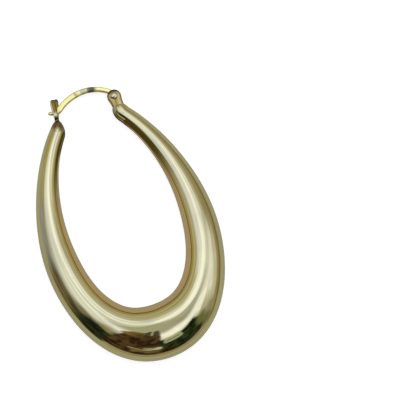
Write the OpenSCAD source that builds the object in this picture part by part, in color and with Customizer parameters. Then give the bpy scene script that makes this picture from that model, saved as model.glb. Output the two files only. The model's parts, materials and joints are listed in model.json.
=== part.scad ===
// A hollow, puffed, oval hoop earring lying on its side, in millimetres.
// It is drawn upright in its own plane, with X across it, Y towards the ear and Z through it,
// and then laid down, so that it rests on its thick bottom and its two thin ends.

/* [Hoop] */
// Half width of the oval that the middle of the tube follows
oval_half_w = 11.8; // [11:0.1:13]
// Half length of the same oval
oval_half_l = 24; // [23:0.1:26]
// How far the widest place moves down towards the bottom of the hoop
pear = 1.2; // [0.6:0.1:1.6]
// How far the long sides bow out past a plain ellipse
side_bow = 1.05; // [0.6:0.05:1.3]
// How far the bottom is pressed in from a plain ellipse
bottom_press = 1.4; // [0.8:0.1:1.8]

/* [Tube] */
// Width of the tube at the bottom, in the plane of the hoop
bottom_w = 10; // [9:0.1:11]
// Depth of the tube at the bottom, across the plane of the hoop
bottom_depth = 8; // [7:0.1:9]
// Width of the tube at its two ends
end_w = 2.95; // [2.8:0.05:3.3]
// Depth of the tube at its two ends
end_depth = 2.9; // [2.8:0.1:3.3]
// Thickness of the hollow tube's wall
wall = 0.2; // [0.15:0.05:0.4]
// How far the tube's section draws in towards its crest, as a share of its width
ridge = 0.22; // [0:0.02:0.3]
// How far the crest stands towards the inside of the hoop at the bottom, as a share of the half width
crest_shift = 0.16; // [0:0.02:0.2]

/* [Hinge] */
// Sideways place of the hinge pin
pin_x = 5.9; // [5.85:0.05:6.1]
// Height of the hinge pin above the oval's middle
pin_y = 21.4; // [21.3:0.05:21.45]
// Radius of the hinge pin
pin_r = 0.38; // [0.3:0.02:0.45]
// Radial gap between the pin and the eye that turns on it
turning_gap = 0.05; // [0.02:0.01:0.08]
// Radius of the bracket's two round ears
ear_r = 1.3; // [1.2:0.01:1.32]
// Thickness of the bracket across both ears
bracket_depth = 2; // [1.9:0.05:2.1]
// Space between the ears
ear_gap = 1.1; // [1.05:0.05:1.2]
// Angle that the ear wire opens to
open_angle = 85; // [0:5:85]

/* [Ear wire] */
// Radius of the ear wire's arc
wire_arc_r = 7.6; // [7.4:0.1:7.8]
// Width of the narrow part of the ear wire, beside the hinge
wire_narrow_w = 0.9; // [0.8:0.02:0.96]
// Depth of the narrow part, across the plane of the hoop
wire_narrow_depth = 0.84; // [0.7:0.02:0.94]
// Width of the part that is rolled flat, beside the catch
wire_flat_w = 1.05; // [0.9:0.05:1.2]
// Depth of the flat part
wire_flat_depth = 0.72; // [0.6:0.02:0.9]
// How far the flat part's face leans outwards
wire_lean = 1; // [0:1:12]
// Length of the bent tip past the catch
tip_reach = 2.1; // [1.6:0.1:2.2]

/* [Catch] */
// Height of the catch's front arm above the end of the tube
front_arm_h = 4.05; // [3.9:0.05:4.2]
// Height of its back arm
back_arm_h = 4.5; // [4.2:0.05:4.6]
// Width of each arm of the catch
catch_arm_w = 0.9; // [0.75:0.05:0.95]
// Thickness of each arm of the catch
catch_arm_t = 0.36; // [0.3:0.02:0.38]
// Sideways step of each arm from the middle of the catch
catch_step = 0.3; // [0.2:0.05:0.4]

/* [Hidden] */
// The opened earring is only for looking at: the stored one is closed
show_open = false;
$fn = 48;

// Angles round the oval are counted from the top, where the ear is, through the hinge side
hinge_end_angle = 46;
catch_end_angle = 45;

// The tube grows from its ends to its bottom. A row gives the angle from the top and the share
// of the growth in width and in depth that is reached there.
col_angle = 0;
col_width = 1;
col_depth = 2;
row_step = 20;
tube_growth = [
    [40, 0.00, 0.00],
    [60, 0.07, 0.11],
    [80, 0.24, 0.29],
    [100, 0.46, 0.50],
    [120, 0.58, 0.67],
    [140, 0.77, 0.83],
    [160, 0.95, 0.95],
    [180, 1.00, 1.00],
];
last_row = len(tube_growth) - 1;

// At the thin ends the crest stands nearly in the middle
end_crest_shift = 0.05;

outer_rings = 84;
outer_sides = 32;
inner_rings = 56;
inner_sides = 18;
cap_rings = 6;

// The tube's ends close round these two feet: the bracket's and the catch's. The shape of a closed
// end gives how square it is and how far it swells before it narrows.
bracket_foot = [pin_x + 0.23, pin_y - 1.9];
catch_foot = [-5.47, 20.45];
catch_lean = 0.165;
foot_pull = 0.9;
bracket_foot_r = 1.05;
bracket_foot_w = 2.1;
catch_foot_r = 0.44;
hinge_cap_shape = [2.4, 0.1];
catch_cap_shape = [1.7, 0.1];

// The solder that holds the bracket is the tube's own closed end, so the bracket starts inside it
bracket_bury = 0.6;
gap_floor = 1.25;
pin_fit = 0.01;
rivet_r = 0.69;
rivet_front_rise = 0.33;
rivet_back_rise = 0.18;
eye_r = 0.9;
eye_depth = 1;
bore_r = pin_r + turning_gap;

wire_centre = [0.56, 16.7];
wire_start_angle = 43;
wire_end_angle = 131;
arc_bow = 0.13;
wire_rings = 26;
tip_rings = 10;
wire_sides = 20;
tip_power = 0.85;
narrow_power = 0.55;
flat_power = 0.42;
flat_from = 0.3;
flat_to = 0.72;
tip_w = 0.7;
tip_depth = 0.6;
tip_bend_step = [-0.57, -0.5];
tip_rise = 0.03;
tip_point = 0.12;

// The catch is a stem that splits into two arms, one on each side of the ear wire.
// A row gives the share of the height above the foot, the share of the sideways step, the distance
// of the arm from the hoop's plane, and the shares of the arm's width and thickness.
col_rise = 0;
col_step = 1;
col_out = 2;
col_arm_w = 3;
col_arm_t = 4;
arm_rows = [
    [0.08, 0.0, 0.10, 0.70, 0.8],
    [0.17, 0.0, 0.42, 0.75, 1.0],
    [0.25, 0.1, 0.73, 0.85, 1.0],
    [0.45, 0.4, 0.74, 1.00, 1.0],
    [0.80, 0.9, 0.75, 1.05, 1.0],
    [0.93, 0.9, 0.77, 1.00, 1.1],
    [1.00, 0.9, 0.80, 0.75, 0.7],
];
// The stem's rows give the height above the foot and the thickness
stem_rows = [
    [-0.65, 0.72],
    [0.20, 0.72],
    [0.70, 0.64],
    [0.90, 0.30],
];
slice_sides = 12;
slice_power = 0.85;

function mix(a, b, t) = a + (b - a) * t;
function turn_left(v) = [-v[1], v[0]];
function unit(v) = v / norm(v);
function sign_of(x) = x < 0 ? -1 : 1;

// The oval: a plain ellipse with one term that makes it a pear and one that squares its sides
function oval(a) = [
    oval_half_w * sin(a) - pear * sin(2 * a) - side_bow * sin(3 * a),
    oval_half_l * cos(a) - bottom_press * cos(3 * a)
];
function oval_way(a) = unit([
    oval_half_w * cos(a) - 2 * pear * cos(2 * a) - 3 * side_bow * cos(3 * a),
    -oval_half_l * sin(a) + 3 * bottom_press * sin(3 * a)
]);

// A smooth curve through the rows of the table, the same on both sides of the bottom
function from_top(a) = a > 180 ? 360 - a : a;
function row_value(i, col) =
    i < 0 ? 2 * tube_growth[0][col] - tube_growth[1][col] :
    i > last_row ? tube_growth[2 * last_row - i][col] :
    tube_growth[i][col];
function through(a, b, c, d, t) =
    0.5 * (2 * b + (c - a) * t + (2 * a - 5 * b + 4 * c - d) * t * t + (3 * b - a - 3 * c + d) * t * t * t);
function growth(a, col) =
    let (place = (from_top(a) - tube_growth[0][col_angle]) / row_step)
    let (i = min(floor(place), last_row - 1))
    through(row_value(i - 1, col), row_value(i, col), row_value(i + 1, col), row_value(i + 2, col), place - i);
function tube_half_w(a) = mix(end_w, bottom_w, growth(a, col_width)) / 2;
function tube_half_d(a) = mix(end_depth, bottom_depth, growth(a, col_depth)) / 2;

function crest(a) = mix(end_crest_shift, crest_shift, growth(a, col_width));

// A ring of the tube: its centre, the way that the tube runs, its half width and its half depth,
// and the shares by which its section draws in and its crest stands off the middle
function tube_ring(a, inset) = [
    oval(a), oval_way(a), tube_half_w(a) - inset, tube_half_d(a) - inset, ridge, crest(a)
];
function tube_rings(count, inset) = [
    for (i = [0:count - 1])
        tube_ring(mix(hinge_end_angle, 360 - catch_end_angle, i / (count - 1)), inset)
];

// The closed ends: the tube turns towards a foot and narrows to the foot's radius
function bend(p, q, r, t) = (1 - t) * (1 - t) * p + 2 * t * (1 - t) * q + t * t * r;
function bend_way(p, q, r, t) = unit((1 - t) * (q - p) + t * (r - q));
function end_ring(a, way, foot, foot_r, shape, t) =
    let (start = oval(a))
    let (pull = start + way * foot_pull)
    let (shrink = pow(1 - pow(t, shape[0]), 1 / shape[0]) + shape[1] * t * (1 - t))
    [
        bend(start, pull, foot, t),
        bend_way(start, pull, foot, t),
        mix(foot_r, tube_half_w(a), shrink),
        mix(foot_r, tube_half_d(a), shrink),
        ridge * sqrt(1 - t),
        crest(a) * sqrt(1 - t)
    ];
hinge_cap = [
    for (i = [cap_rings:-1:1])
        let (ring = end_ring(hinge_end_angle, -oval_way(hinge_end_angle), bracket_foot, bracket_foot_r,
            hinge_cap_shape, i / cap_rings))
        [ring[0], -ring[1], ring[2], ring[3], ring[4], ring[5]]
];
catch_cap = [
    for (i = [1:cap_rings])
        end_ring(360 - catch_end_angle, oval_way(360 - catch_end_angle), catch_foot, catch_foot_r,
            catch_cap_shape, i / cap_rings)
];
body_rings = concat(hinge_cap, tube_rings(outer_rings, 0), catch_cap);

function ring_points(ring, sides) = [
    for (k = [0:sides - 1])
        let (turn = 360 * k / sides)
        let (height = pow(sin(turn), 2))
        let (across = cos(turn) * (1 - ring[4] * height) - ring[5] * height)
        let (place = ring[0] + turn_left(ring[1]) * ring[2] * across)
        [place[0], place[1], ring[3] * sin(turn)]
];
body_points = [for (ring = body_rings) each ring_points(ring, outer_sides)];

// The ear wire: an arc from the hinge to the catch, then a tip that turns outwards
function ease(x) = let (t = max(0, min(1, x))) t * t * (3 - 2 * t);
// Its part beside the hinge bows out a little past the arc
function wire_share(a) = (a - wire_start_angle) / (wire_end_angle - wire_start_angle);
function wire_bow(share) = arc_bow * ease(share / 0.12) * (1 - ease((share - 0.35) / 0.4));
function on_wire_arc(a) = wire_centre + (wire_arc_r + wire_bow(wire_share(a))) * [cos(a), sin(a)];
function wire_arc_ring(a) =
    let (share = wire_share(a))
    let (flat = ease((share - flat_from) / (flat_to - flat_from)))
    [
        on_wire_arc(a),
        [-sin(a), cos(a)],
        mix(wire_narrow_w, wire_flat_w, flat) / 2,
        mix(wire_narrow_depth, wire_flat_depth, flat) / 2,
        wire_lean * flat,
        mix(narrow_power, flat_power, flat)
    ];
tip_start = on_wire_arc(wire_end_angle);
tip_end = tip_start + [-tip_reach, tip_rise];
tip_bend = tip_start + tip_bend_step;
function tip_ring(t) =
    let (close = sqrt(1 - pow(t, 8)))
    [
        bend(tip_start, tip_bend, tip_end, t),
        bend_way(tip_start, tip_bend, tip_end, t),
        mix(tip_point, mix(wire_flat_w, tip_w, min(1, 1.6 * t)) / 2, close),
        mix(tip_point, mix(wire_flat_depth, tip_depth, t) / 2, close),
        wire_lean * (1 - ease(t)),
        mix(flat_power, tip_power, t)
    ];
wire_rings_list = concat(
    [for (i = [0:wire_rings - 1]) wire_arc_ring(mix(wire_start_angle, wire_end_angle, i / (wire_rings - 1)))],
    [for (i = [1:tip_rings]) tip_ring(pow(i / tip_rings, 0.8))]
);

// A flat section with round edges, as a wire has that was rolled flat: the power says how round
function flat_section(half_w, half_d, power, sides) = [
    for (k = [0:sides - 1])
        let (turn = 360 * (k + 0.5) / sides)
        [
            half_w * sign_of(cos(turn)) * pow(abs(cos(turn)), power),
            half_d * sign_of(sin(turn)) * pow(abs(sin(turn)), power)
        ]
];
function wire_points(ring) = [
    for (s = flat_section(ring[2], ring[3], ring[5], wire_sides))
        let (across = s[0] * cos(ring[4]) - s[1] * sin(ring[4]))
        let (place = ring[0] + turn_left(ring[1]) * across)
        [place[0], place[1], s[0] * sin(ring[4]) + s[1] * cos(ring[4])]
];

// A level slice of the catch
function slice(x, y, z, w, t) = [
    for (s = flat_section(t / 2, w / 2, slice_power, slice_sides))
        [x + s[1], y, z + s[0]]
];
function catch_x(rise) = catch_foot[0] + catch_lean * rise;
function arm_slices(side, arm_h) = [
    for (row = arm_rows)
        let (rise = row[col_rise] * arm_h)
        slice(catch_x(rise) - side * catch_step * row[col_step], catch_foot[1] + rise, side * row[col_out],
            catch_arm_w * row[col_arm_w], catch_arm_t * row[col_arm_t])
];
front_arm = arm_slices(1, front_arm_h);
back_arm = arm_slices(-1, back_arm_h);
stem_slices = [
    for (row = stem_rows)
        slice(catch_x(row[0]), catch_foot[1] + row[0], 0, row[1], row[1])
];

// How the earring lies: the plane of the hoop leans from its thick bottom down to its thin ends.
// The place that it rests on at the bottom is found at a tilt close to the final one.
near_tilt = 3.5;
function height_at(p, tilt) = p[2] * cos(tilt) - p[1] * sin(tilt);
function lowest(points, tilt) =
    let (level = min([for (p = points) height_at(p, tilt)]))
    [for (p = points) if (height_at(p, tilt) == level) p][0];
bottom_rest = lowest([for (p = body_points) if (p[1] < 0) p], near_tilt);
rest_tilt = min([
    for (p = body_points)
        if (p[1] > 0 && p[2] < 0) atan((p[2] - bottom_rest[2]) / (p[1] - bottom_rest[1]))
]);
function tipped_y(p) = p[1] * cos(rest_tilt) + p[2] * sin(rest_tilt);
function tipped_z(p) = height_at(p, rest_tilt);
top_points = concat(
    [for (ring = wire_rings_list) each wire_points(ring)],
    [for (ring = front_arm) each ring],
    [for (ring = back_arm) each ring]
);
low_y = min([for (p = body_points) tipped_y(p)]);
high_y = max([for (p = top_points) tipped_y(p)]);
low_z = min([for (p = body_points) tipped_z(p)]);

// One closed skin over a row of rings
module skin(rings) {
    count = len(rings);
    sides = len(rings[0]);
    walls = [
        for (i = [0:count - 2], k = [0:sides - 1])
            let (a = i * sides + k, b = i * sides + (k + 1) % sides)
            each [[a, b + sides, b], [a, a + sides, b + sides]]
    ];
    first = [for (k = [0:sides - 1]) k];
    last = [for (k = [sides - 1:-1:0]) (count - 1) * sides + k];
    polyhedron([for (ring = rings) each ring], concat(walls, [first, last]));
}

module hollow_tube() {
    difference() {
        skin([for (ring = body_rings) ring_points(ring, outer_sides)]);
        skin([for (ring = tube_rings(inner_rings, wall)) ring_points(ring, inner_sides)]);
    }
}

// A bent strip with two round ears. The pin goes through both.
module hinge_bracket() {
    strip_len = pin_y - bracket_foot[1] + bracket_bury;
    translate([pin_x, pin_y, 0])
        difference() {
            linear_extrude(height = bracket_depth, center = true)
                union() {
                    circle(r = ear_r);
                    polygon([
                        [-ear_r, 0],
                        [bracket_foot[0] - pin_x - bracket_foot_w / 2, -strip_len],
                        [bracket_foot[0] - pin_x + bracket_foot_w / 2, -strip_len],
                        [ear_r, 0]
                    ]);
                }
            translate([-2 * ear_r, -gap_floor, -ear_gap / 2])
                cube([4 * ear_r, gap_floor + 2 * ear_r, ear_gap]);
            cylinder(r = pin_r + pin_fit, h = 2 * bracket_depth, center = true);
        }
}

module catch() {
    skin(stem_slices);
    skin(front_arm);
    skin(back_arm);
}

// A rivet's head is a low dome
module rivet_head(rise) {
    ball_r = (rivet_r * rivet_r + rise * rise) / (2 * rise);
    translate([0, 0, bracket_depth / 2 + pin_fit])
        intersection() {
            translate([0, 0, rise - ball_r])
                sphere(r = ball_r);
            cylinder(r = rivet_r, h = rise);
        }
}

module lay_down() {
    translate([0, -(low_y + high_y) / 2, -low_z])
        rotate([-rest_tilt, 0, 0])
            children();
}

module hoop_body() {
    color([0.83, 0.77, 0.50])
        lay_down()
            union() {
                hollow_tube();
                hinge_bracket();
                catch();
            }
}

module hinge_pin() {
    color([0.90, 0.84, 0.60])
        lay_down()
            translate([pin_x, pin_y, 0])
                union() {
                    cylinder(r = pin_r, h = bracket_depth + 3 * pin_fit, center = true);
                    rivet_head(rivet_front_rise);
                    mirror([0, 0, 1])
                        rivet_head(rivet_back_rise);
                }
}

module ear_wire() {
    color([0.88, 0.82, 0.45])
        lay_down()
            translate([pin_x, pin_y, 0])
                rotate([0, 0, show_open ? -open_angle : 0])
                    translate([-pin_x, -pin_y, 0])
                        difference() {
                            union() {
                                skin([for (ring = wire_rings_list) wire_points(ring)]);
                                translate([pin_x, pin_y, 0])
                                    cylinder(r = eye_r, h = eye_depth, center = true);
                            }
                            translate([pin_x, pin_y, 0])
                                cylinder(r = bore_r, h = 2 * eye_depth, center = true);
                        }
}

hoop_body();
hinge_pin();
ear_wire();
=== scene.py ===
import bmesh
import bpy
import json
from math import atan2, cos, exp, floor, pi, radians, sin, sqrt, tan
from mathutils import Matrix, Vector


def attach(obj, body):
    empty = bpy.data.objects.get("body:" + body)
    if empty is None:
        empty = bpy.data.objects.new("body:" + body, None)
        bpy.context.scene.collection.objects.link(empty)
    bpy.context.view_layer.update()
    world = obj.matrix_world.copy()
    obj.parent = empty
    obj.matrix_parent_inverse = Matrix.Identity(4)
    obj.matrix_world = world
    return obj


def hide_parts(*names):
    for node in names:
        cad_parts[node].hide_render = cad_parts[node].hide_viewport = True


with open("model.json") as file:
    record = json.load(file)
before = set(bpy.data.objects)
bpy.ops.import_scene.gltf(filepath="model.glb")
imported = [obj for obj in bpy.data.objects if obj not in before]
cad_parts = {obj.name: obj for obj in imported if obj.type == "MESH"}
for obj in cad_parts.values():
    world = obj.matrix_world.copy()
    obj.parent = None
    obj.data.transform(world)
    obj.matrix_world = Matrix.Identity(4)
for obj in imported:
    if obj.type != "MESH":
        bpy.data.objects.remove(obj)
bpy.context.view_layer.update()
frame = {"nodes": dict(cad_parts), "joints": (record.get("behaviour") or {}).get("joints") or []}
scene = bpy.context.scene
print("frame loaded:", sorted(frame["nodes"]))

# Pieces are drawn upright in the hoop's own plane in millimetres,
# then laid down onto the floor in metres
mm = 0.001
pinPlace = (5.9, 21.4)  # the hinge pin in that plane
hinge = frame["joints"][0]
lean = atan2(-hinge["axis"][1], -hinge["axis"][2])  # of the lying hoop
layDown = (
    Matrix.Translation(Vector(hinge["pos_m"]))
    @ Matrix.Rotation(-lean, 4, "X")
    @ Matrix.Scale(mm, 4)
    @ Matrix.Translation((-pinPlace[0], -pinPlace[1], 0))
)

view = {
    "aim": (0.0144, -0.00041, 0.0),  # metres
    "distance": 0.3,
    "azimuth": 19.43,  # degrees
    "elevation": 78.16,
    "lens": 148.5,
    "sensor": 36.0,
    "clip": (0.01, 10),
}


def makeCamera(v):
    az, el = radians(v["azimuth"]), radians(v["elevation"])
    along = Vector((sin(az) * cos(el), cos(az) * cos(el), -sin(el)))
    right = Vector((cos(az), -sin(az), 0))
    up = right.cross(along)
    data = bpy.data.cameras.new("camera")
    data.lens, data.sensor_width = v["lens"], v["sensor"]
    data.clip_start, data.clip_end = v["clip"]
    cam = bpy.data.objects.new("camera", data)
    turn = Matrix((right, up, -along)).transposed().to_4x4()
    cam.matrix_world = Matrix.Translation(Vector(v["aim"]) - along * v["distance"]) @ turn
    scene.collection.objects.link(cam)
    scene.camera = cam


makeCamera(view)
scene.view_settings.view_transform = "Standard"
print("camera ready")


def mix(a, b, t):
    return a + (b - a) * t


def ease(x):
    t = max(0, min(1, x))
    return t * t * (3 - 2 * t)


# a node with its settings, and a value or a link for each named input
def put(tree, kind, feeds=None, **settings):
    made = tree.nodes.new(kind)
    made.location = (len(tree.nodes) % 12 * 190, -(len(tree.nodes) // 12) * 260)  # rows of twelve
    for key, value in settings.items():
        setattr(made, key, value)
    for key, feed in (feeds or {}).items():
        if isinstance(feed, bpy.types.NodeSocket):
            tree.links.new(feed, made.inputs[key])
        else:
            made.inputs[key].default_value = feed
    return made


def calc(tree, operation, *terms):
    return put(tree, "ShaderNodeMath", dict(enumerate(terms)), operation=operation).outputs[0]


def plus(tree, a, b):
    return calc(tree, "ADD", a, b)


def minus(tree, a, b):
    return calc(tree, "SUBTRACT", a, b)


def times(tree, a, b):
    return calc(tree, "MULTIPLY", a, b)


def axes(tree, vector):
    return put(tree, "ShaderNodeSeparateXYZ", {0: vector}).outputs


def emission(tree, colour, strength=1.0):
    return put(tree, "ShaderNodeEmission", {"Color": colour, "Strength": strength}).outputs[0]


def ramp(tree, value, fromLow, fromHigh, toLow, toHigh):  # smooth step between two values
    feeds = {"Value": value, "From Min": fromLow, "From Max": fromHigh, "To Min": toLow, "To Max": toHigh}
    return put(tree, "ShaderNodeMapRange", feeds, interpolation_type="SMOOTHSTEP").outputs[0]


def noise(tree, vector, scale, detail, **more):
    feeds = {"Vector": vector, "Scale": scale, "Detail": detail} | more
    return put(tree, "ShaderNodeTexNoise", feeds).outputs


def vectorMath(tree, operation, *terms):
    return put(tree, "ShaderNodeVectorMath", dict(enumerate(terms)), operation=operation).outputs


def blendColour(tree, share, a, b):
    return put(tree, "ShaderNodeMix", {0: share, 6: a, 7: b}, data_type="RGBA").outputs[2]


def emptyMaterial(name):
    material = bpy.data.materials.new(name)
    material.use_nodes = True
    material.node_tree.nodes.clear()
    return material, material.node_tree


def addObject(name, mesh):
    made = bpy.data.objects.new(name, mesh)
    scene.collection.objects.link(made)
    return made


studio = {
    "turn": 19.43,  # azimuths below count from the right of the picture, towards its top
    "base": (0.31, 0.28, 0.225),
    "background": (1.0, 1.0, 1.0),  # what the camera sees behind the floor
    "wobble": (5.0, 1.5),  # how far the edges of the panels wander sideways and upwards, in degrees
    "wobbleScale": 4.0,
    "streaks": 0.22,  # strength of faint streaks that run up the sides
    "streakScale": 9.0,
    "mottle": 0.65,  # how uneven the dark places are
    "mottleScale": 8.0,
    "mottleFrom": (0.36, 0.64),
    "darkBelow": (0.03, 0.2),  # brightness of what counts as dark
    # All angles are in degrees, and a later shape covers an earlier one.
    # panel: azimuth from and to, elevation from and to, softness sideways and upwards, colour
    # lamp: azimuth, elevation, radius, softness of its edge, colour
    "shapes": [
        ("panel", 104, 150, 26, 90, 9, 9, (0.46, 0.46, 0.42)),  # grey wall, top left
        ("panel", 110, 146, 3, 27, 7, 7, (0.22, 0.19, 0.14)),  # its darker foot
        ("panel", 139, 157, 2, 34, 5, 8, (0.40, 0.36, 0.17)),  # gold glow beside it
        ("panel", 50, 104, 25, 90, 12, 9, (0.48, 0.50, 0.58)),  # grey wall, top
        ("panel", 8, 52, 33, 90, 10, 9, (0.50, 0.52, 0.60)),  # grey wall, top right
        ("panel", 152, 163, -2, 66, 5, 10, (0.38, 0.35, 0.28)),  # warm strip, left
        ("panel", 163, 190, -2, 66, 5, 10, (0.30, 0.32, 0.43)),  # cool strip, left
        ("panel", 140, 196, 34, 68, 6, 6, (0.63, 0.68, 0.98)),  # silver screen, left
        ("panel", 138, 204, 45, 68, 6, 6, (0.78, 0.85, 1.36)),  # its bright upper part
        ("panel", 163, 188, 29, 38, 6, 6, (0.45, 0.47, 0.66)),  # its dim foot
        ("panel", 52, 106, 42, 62, 12, 4, (0.95, 1.03, 1.56)),  # bright screen, top
        ("lamp", 345, 84, 40, 8, (0.70, 0.76, 1.05)),  # soft light overhead
        ("panel", -12, 33, 18, 44, 7, 6, (0.55, 0.55, 0.64)),  # grey screen, right
        ("panel", 4, 36, 30, 50, 7, 8, (0.82, 0.87, 1.26)),  # its bright part
        ("panel", -20, 62, -5, 9, 10, 4, (0.20, 0.16, 0.10)),  # dim line low down
        ("lamp", 342, 84, 33, 4, (1.04, 1.12, 1.66)),  # main light overhead
        ("panel", 345, 375, 44, 54, 8, 4, (0.98, 1.05, 1.55)),  # bright strip, right
        ("lamp", 30, 60, 9, 6, (0.62, 0.68, 0.90)),  # small light, right
        ("lamp", 352, 75, 14, 5, (0.36, 0.39, 0.44)),  # dimmer places in the main light
        ("lamp", 20, 70, 8, 5, (0.46, 0.49, 0.58)),
        ("lamp", 296, 76, 12, 5, (0.38, 0.41, 0.46)),
        ("lamp", 130, 67, 6, 4, (0.66, 0.72, 1.02)),  # two small lights, left
        ("lamp", 127, 57, 8, 5, (0.85, 0.92, 1.45)),
        ("lamp", 195, 84, 15, 6, (0.40, 0.42, 0.46)),  # dimmer place overhead, left
        ("panel", 180, 210, 12, 32, 6, 8, (0.10, 0.09, 0.07)),  # dark corner, left
        ("panel", 184, 212, -2, 14, 6, 4, (0.17, 0.13, 0.08)),  # its brown foot
        ("panel", 192, 214, 30, 46, 6, 8, (0.20, 0.20, 0.19)),  # its grey top
        ("panel", 202, 226, 3, 41, 3, 2.5, (0.020, 0.027, 0.018)),  # dark green, lower left
        ("panel", 222, 341, 12.5, 50, 3, 2, (0.020, 0.029, 0.016)),  # dark green, bottom
        ("panel", 224, 284, 12, 71, 2, 1.5, (0.055, 0.033, 0.021)),  # brown part of it
        ("panel", 218, 262, 60, 72, 4, 2.5, (0.15, 0.10, 0.045)),  # its tan top
        ("panel", 254, 282, 62, 74, 2, 1, (0.045, 0.045, 0.03)),  # dark place above
        ("panel", 266, 270, 64, 76, 1.5, 1, (0.50, 0.50, 0.45)),  # bright gap in it
        ("panel", 248, 286, 21, 31, 5, 4, (0.12, 0.10, 0.06)),  # dim board
        ("panel", 262, 284, 30, 36, 2, 0.8, (0.56, 0.56, 0.60)),  # bright board
        ("panel", 244, 266, 31, 34, 2, 0.8, (0.30, 0.26, 0.20)),  # tan board
        ("panel", 258, 276, 33, 34.5, 2, 0.6, (0.03, 0.025, 0.012)),  # dark line across it
        ("panel", 284, 296, 13, 32, 4, 5, (0.020, 0.014, 0.005)),  # nearly black place
        ("panel", 288, 314, 41, 51.5, 2, 1, (0.38, 0.44, 0.45)),  # pale slats, lower right
        ("panel", 290, 312, 45, 46.5, 2, 0.8, (0.06, 0.08, 0.05)),  # dark line between them
        ("panel", 334, 349, 9, 38, 5, 5, (0.14, 0.165, 0.09)),  # olive corner, right
        ("panel", 347, 358, 9, 30, 5, 5, (0.30, 0.30, 0.25)),  # grey strip beside it
    ],
}


def panelShare(tree, way, start, end, low, high, soft, rise):  # 1 inside the panel, 0 outside it
    half = (end - start) / 2
    away = minus(tree, way["unevenAzimuth"], (start + end) / 2)
    away = calc(tree, "ABSOLUTE", calc(tree, "WRAP", away, 180, -180))
    within = ramp(tree, away, half - soft, half + soft, 1, 0)
    foot = way["unevenElevation" if low > 10 else "elevation"]  # an edge near the floor is straight
    above = ramp(tree, foot, low - min(rise, abs(low)) / 2, low + rise / 2, 0, 1)
    below = ramp(tree, way["unevenElevation"], high - rise, high + rise, 1, 0)
    return times(tree, within, times(tree, above, below))


def lampShare(tree, way, at, height, radius, soft):
    a, e = radians(at), radians(height)
    centre = (cos(a) * cos(e), sin(a) * cos(e), sin(e))
    near = vectorMath(tree, "DOT_PRODUCT", way["vector"], centre)["Value"]
    apart = times(tree, calc(tree, "ARCCOSINE", near), 180 / pi)
    return ramp(tree, apart, radius - soft, radius + soft, 1, 0)


def wander(tree, angle, drift, reach):  # makes an edge uneven
    return plus(tree, angle, times(tree, minus(tree, drift, 0.5), 2 * reach))


def findWay(tree, s):  # the direction that a ray looks in, as angles
    looks = {"Vector": put(tree, "ShaderNodeTexCoord").outputs["Generated"], "Angle": radians(s["turn"])}
    vector = put(tree, "ShaderNodeVectorRotate", looks, rotation_type="Z_AXIS").outputs[0]
    x, y, z = axes(tree, vector)
    azimuth = times(tree, calc(tree, "ARCTAN2", y, x), 180 / pi)
    elevation = times(tree, calc(tree, "ARCSINE", z), 180 / pi)
    drift = noise(tree, vector, s["wobbleScale"], 5.0)["Color"]
    drifts = put(tree, "ShaderNodeSeparateColor", {0: drift}).outputs
    sideways, upwards = s["wobble"]
    return {
        "vector": vector, "x": x, "y": y, "elevation": elevation,
        "unevenAzimuth": wander(tree, azimuth, drifts[0], sideways),
        "unevenElevation": wander(tree, elevation, drifts[1], upwards),
    }


def lightLevel(tree, s, way, colour):  # faint streaks, and uneven dark places
    flatWay = put(tree, "ShaderNodeCombineXYZ", {0: way["x"], 1: way["y"], 2: 0.0}).outputs[0]
    spoke = vectorMath(tree, "NORMALIZE", flatWay)[0]
    streak = noise(tree, spoke, s["streakScale"], 2.0)[0]
    level = plus(tree, 1 - s["streaks"] / 2, times(tree, streak, s["streaks"]))
    speckle = noise(tree, way["vector"], s["mottleScale"], 3.0)[0]
    mottle = ramp(tree, speckle, *s["mottleFrom"], -s["mottle"], s["mottle"])
    dark = ramp(tree, put(tree, "ShaderNodeRGBToBW", {0: colour}).outputs[0], *s["darkBelow"], 1, 0)
    uneven = times(tree, dark, mottle)
    return times(tree, level, plus(tree, uneven, 1.0))


def makeWorld(s):
    world = bpy.data.worlds.new("studio")
    scene.world = world
    world.use_nodes = True
    tree = world.node_tree
    tree.nodes.clear()
    way = findWay(tree, s)
    colour = (*s["base"], 1)
    for kind, *shape, tint in s["shapes"]:
        share = panelShare(tree, way, *shape) if kind == "panel" else lampShare(tree, way, *shape)
        colour = blendColour(tree, share, colour, (*tint, 1))
    level = lightLevel(tree, s, way, colour)
    lit = put(tree, "ShaderNodeBackground", {"Color": colour, "Strength": level}).outputs[0]
    plain = put(tree, "ShaderNodeBackground", {"Color": (*s["background"], 1), "Strength": 1.0}).outputs[0]
    seen = put(tree, "ShaderNodeLightPath").outputs["Is Camera Ray"]
    shown = put(tree, "ShaderNodeMixShader", {0: seen, 1: lit, 2: plain}).outputs[0]
    put(tree, "ShaderNodeOutputWorld", {"Surface": shown})


makeWorld(studio)

ground = {
    "halfSize": 1.5,  # metres
    "white": 0.86,
    "glow": 0.74,  # keeps the paper clean white in the picture
    "mirrored": (0.365, 0.37, 0.355),  # how bright the metal sees it
    "mirroredInside": (0.36, 0.31, 0.27),  # inside the hoop: painted warm light, bounced off the gold
    "inside": (0.0, -0.002, 0.0085, 0.017),  # middle and half sizes of that place, in metres
    "insideFade": (0.8, 1.4),  # shares of those sizes
    "shade": (0.045, 0.034, 0.01),  # in the shadow of the hoop's two ends
    "shadePlaces": [(0.0036, 0.0186, 0.0034), (-0.0036, 0.0180, 0.0034)],  # middle and radius, in metres
    "shadeFade": (0.7, 1.2),
    "gap": 0.00002,  # between the floor and the card below it
}


def makeSquare(name, height, halfSize, shader, material, tree):
    h = halfSize
    mesh = bpy.data.meshes.new(name)
    mesh.from_pydata([(-h, -h, height), (h, -h, height), (h, h, height), (-h, h, height)], [], [(0, 1, 2, 3)])
    put(tree, "ShaderNodeOutputMaterial", {"Surface": shader})
    mesh.materials.append(material)
    return addObject(name, mesh)


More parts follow.
